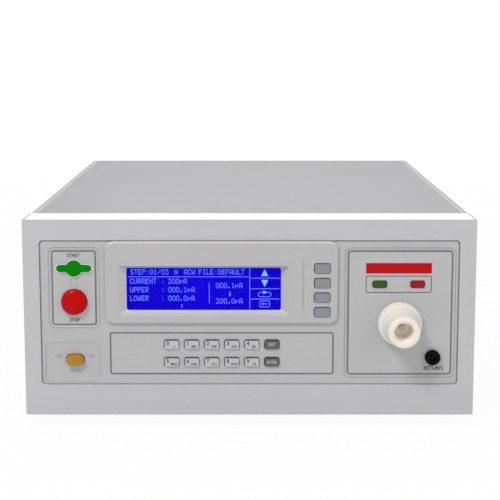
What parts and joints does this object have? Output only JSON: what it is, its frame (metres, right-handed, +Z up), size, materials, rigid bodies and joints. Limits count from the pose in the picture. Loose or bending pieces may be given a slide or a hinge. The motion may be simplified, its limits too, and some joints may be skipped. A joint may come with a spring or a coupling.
{
  "type": "hipot tester",
  "caption": "Bench high-voltage insulation tester with a blue dot-matrix screen, digit keys, start and stop buttons and a recessed output terminal.",
  "frame": {"origin": "on the bench under the middle of the whole object: midway between the sides, and midway between the output terminal's nose and the ground post's end", "axes": "+X to the operator's right, +Y from the front to the rear, +Z up"},
  "size_m": [0.36, 0.4492, 0.1695],
  "materials": {
    "frame_plastic": "fine-textured light grey moulding, pale top",
    "panel_plastic": "light grey moulding",
    "plate_film": "printed polycarbonate film",
    "cover_paint": "light grey powder coat",
    "zinc_steel": "zinc-plated sheet",
    "port_steel": "tin-plated steel shell",
    "window": "clear acrylic",
    "screen_blue": "backlit blue display",
    "key_light": "light grey silicone-backed key",
    "dark_key": "dark grey key",
    "soft_key": "blue-grey rubber key",
    "start_green": "green button",
    "stop_red": "glossy red dome",
    "power_amber": "amber push button",
    "ivory": "ivory insulating plastic",
    "brass": "plated brass",
    "black_plastic": "black moulding",
    "lamp_green": "unlit green lens",
    "lamp_red": "red lens",
    "board": "green circuit board",
    "core_iron": "varnished laminations",
    "coil_tape": "yellow insulating tape",
    "aluminium": "extruded aluminium",
    "rubber": "black rubber",
    "fuse_glass": "glass fuse tube with plated caps"
  },
  "bodies": {
    "housing": {"front_frame": "frame_plastic", "front_panel": "panel_plastic", "top_cover": "cover_paint", "base_tray": "zinc_steel", "rear_panel": "cover_paint", "front_left_foot": "rubber", "front_right_foot": "rubber", "rear_left_foot": "rubber", "rear_right_foot": "rubber", "display_bezel": "panel_plastic", "display_window": "window", "lcd_module": "screen_blue", "keypad_plate": "plate_film", "start_stop_plate": "plate_film", "output_plate": "plate_film", "key_board": "board", "start_stop_board": "board", "hv_terminal": "ivory", "hv_terminal_nut": "ivory", "hv_contact": "brass", "return_socket": "black_plastic", "return_contact": "brass", "pass_lamp": "lamp_green", "fail_lamp": "lamp_red", "power_switch": "black_plastic", "mains_inlet": "black_plastic", "ground_post": "brass", "serial_port": "port_steel", "remote_port": "port_steel", "fan_frame": "black_plastic", "fan_guard": "zinc_steel", "transformer_core": "core_iron", "transformer_coil": "coil_tape", "amplifier_board": "board", "heat_sink": "aluminium", "control_board": "board"},
    "key_0": {"key_0": "key_light"},
    "key_1": {"key_1": "key_light"},
    "key_2": {"key_2": "key_light"},
    "key_3": {"key_3": "key_light"},
    "key_4": {"key_4": "key_light"},
    "key_5": {"key_5": "key_light"},
    "key_6": {"key_6": "key_light"},
    "key_7": {"key_7": "key_light"},
    "key_8": {"key_8": "key_light"},
    "key_9": {"key_9": "key_light"},
    "exit_key": {"exit_key": "dark_key"},
    "enter_key": {"enter_key": "dark_key"},
    "soft_key_1": {"soft_key_1": "soft_key"},
    "soft_key_2": {"soft_key_2": "soft_key"},
    "soft_key_3": {"soft_key_3": "soft_key"},
    "soft_key_4": {"soft_key_4": "soft_key"},
    "start_button": {"start_button": "start_green"},
    "stop_button": {"stop_button": "stop_red"},
    "power_button": {"power_button": "power_amber"},
    "fan_rotor": {"fan_rotor": "black_plastic"},
    "fuse_drawer": {"fuse_drawer": "black_plastic", "fuse": "fuse_glass"},
    "ground_washer": {"ground_washer": "brass"},
    "ground_nut": {"ground_nut": "brass"}
  },
  "joints": [
    {"name": "key_0_press", "type": "slide", "parent": "housing", "child": "key_0", "axis": [0, 1, 0], "range_m": [0, 0.001], "stiffness_N_per_m": 400},
    {"name": "key_1_press", "type": "slide", "parent": "housing", "child": "key_1", "axis": [0, 1, 0], "range_m": [0, 0.001], "stiffness_N_per_m": 400},
    {"name": "key_2_press", "type": "slide", "parent": "housing", "child": "key_2", "axis": [0, 1, 0], "range_m": [0, 0.001], "stiffness_N_per_m": 400},
    {"name": "key_3_press", "type": "slide", "parent": "housing", "child": "key_3", "axis": [0, 1, 0], "range_m": [0, 0.001], "stiffness_N_per_m": 400},
    {"name": "key_4_press", "type": "slide", "parent": "housing", "child": "key_4", "axis": [0, 1, 0], "range_m": [0, 0.001], "stiffness_N_per_m": 400},
    {"name": "key_5_press", "type": "slide", "parent": "housing", "child": "key_5", "axis": [0, 1, 0], "range_m": [0, 0.001], "stiffness_N_per_m": 400},
    {"name": "key_6_press", "type": "slide", "parent": "housing", "child": "key_6", "axis": [0, 1, 0], "range_m": [0, 0.001], "stiffness_N_per_m": 400},
    {"name": "key_7_press", "type": "slide", "parent": "housing", "child": "key_7", "axis": [0, 1, 0], "range_m": [0, 0.001], "stiffness_N_per_m": 400},
    {"name": "key_8_press", "type": "slide", "parent": "housing", "child": "key_8", "axis": [0, 1, 0], "range_m": [0, 0.001], "stiffness_N_per_m": 400},
    {"name": "key_9_press", "type": "slide", "parent": "housing", "child": "key_9", "axis": [0, 1, 0], "range_m": [0, 0.001], "stiffness_N_per_m": 400},
    {"name": "exit_key_press", "type": "slide", "parent": "housing", "child": "exit_key", "axis": [0, 1, 0], "range_m": [0, 0.001], "stiffness_N_per_m": 400},
    {"name": "enter_key_press", "type": "slide", "parent": "housing", "child": "enter_key", "axis": [0, 1, 0], "range_m": [0, 0.001], "stiffness_N_per_m": 400},
    {"name": "soft_key_1_press", "type": "slide", "parent": "housing", "child": "soft_key_1", "axis": [0, 1, 0], "range_m": [0, 0.001], "stiffness_N_per_m": 400},
    {"name": "soft_key_2_press", "type": "slide", "parent": "housing", "child": "soft_key_2", "axis": [0, 1, 0], "range_m": [0, 0.001], "stiffness_N_per_m": 400},
    {"name": "soft_key_3_press", "type": "slide", "parent": "housing", "child": "soft_key_3", "axis": [0, 1, 0], "range_m": [0, 0.001], "stiffness_N_per_m": 400},
    {"name": "soft_key_4_press", "type": "slide", "parent": "housing", "child": "soft_key_4", "axis": [0, 1, 0], "range_m": [0, 0.001], "stiffness_N_per_m": 400},
    {"name": "start_press", "type": "slide", "parent": "housing", "child": "start_button", "axis": [0, 1, 0], "range_m": [0, 0.0015], "stiffness_N_per_m": 600},
    {"name": "stop_press", "type": "slide", "parent": "housing", "child": "stop_button", "axis": [0, 1, 0], "range_m": [0, 0.0015], "stiffness_N_per_m": 600},
    {"name": "power_press", "type": "slide", "parent": "housing", "child": "power_button", "axis": [0, 1, 0], "range_m": [0, 0.003], "stiffness_N_per_m": 400},
    {"name": "fan_spin", "type": "hinge", "parent": "housing", "child": "fan_rotor", "pos_m": [-0.12, 0.19, 0.09], "axis": [0, 1, 0], "continuous": true},
    {"name": "fuse_drawer_slide", "type": "slide", "parent": "housing", "child": "fuse_drawer", "axis": [0, 1, 0], "range_m": [0, 0.016]},
    {"name": "ground_washer_slide", "type": "slide", "parent": "housing", "child": "ground_washer", "axis": [0, 1, 0], "range_m": [0, 0.004]},
    {"name": "ground_nut_turn", "type": "hinge", "parent": "ground_washer", "child": "ground_nut", "pos_m": [0.15, 0.212, 0.05], "axis": [0, 1, 0], "range_deg": [0, 1445]}
  ],
  "couplings": [
    {"joint": "ground_nut_turn", "follows": "ground_washer_slide", "rad_per_m": 6283.2}
  ]
}
